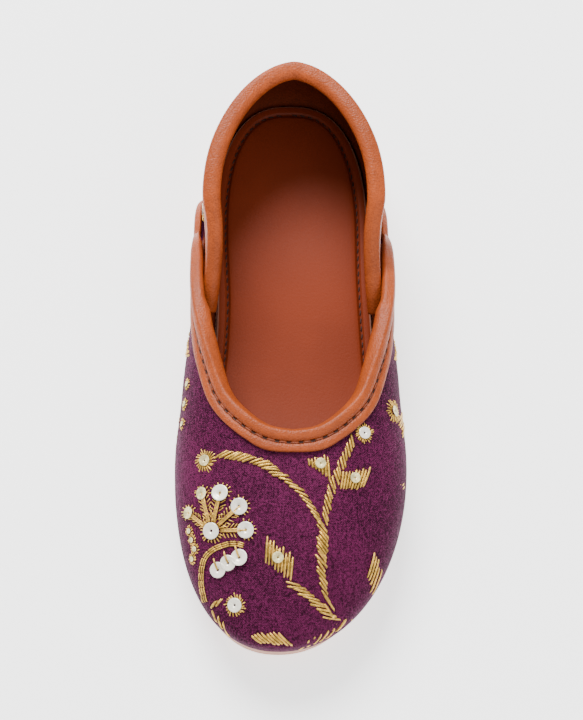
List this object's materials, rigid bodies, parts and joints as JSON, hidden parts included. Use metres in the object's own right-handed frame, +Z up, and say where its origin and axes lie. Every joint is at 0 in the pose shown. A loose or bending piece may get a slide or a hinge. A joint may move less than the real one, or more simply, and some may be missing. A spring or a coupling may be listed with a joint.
{
  "type": "child's mojari shoe, left",
  "caption": "Left child's mojari in plum cloth with gold floral embroidery and sequins, tan leather bindings and a moulded ribbed sole.",
  "frame": {"origin": "on the floor, under the middle of the shoe's box", "axes": "+Z up, +Y from toe to heel, +X towards the lateral side of the left foot"},
  "size_m": [0.0638, 0.168, 0.0484],
  "materials": {
    "sole_rubber": "matte",
    "insole_leather": "satin",
    "plum_cloth": "fine weave with a faint sheen",
    "binding_leather": "satin, fine grain"
  },
  "bodies": {
    "root": {"outsole": "sole_rubber", "insole": "insole_leather", "upper": "plum_cloth", "quarter_binding": "binding_leather", "vamp_binding": "binding_leather"}
  },
  "joints": []
}
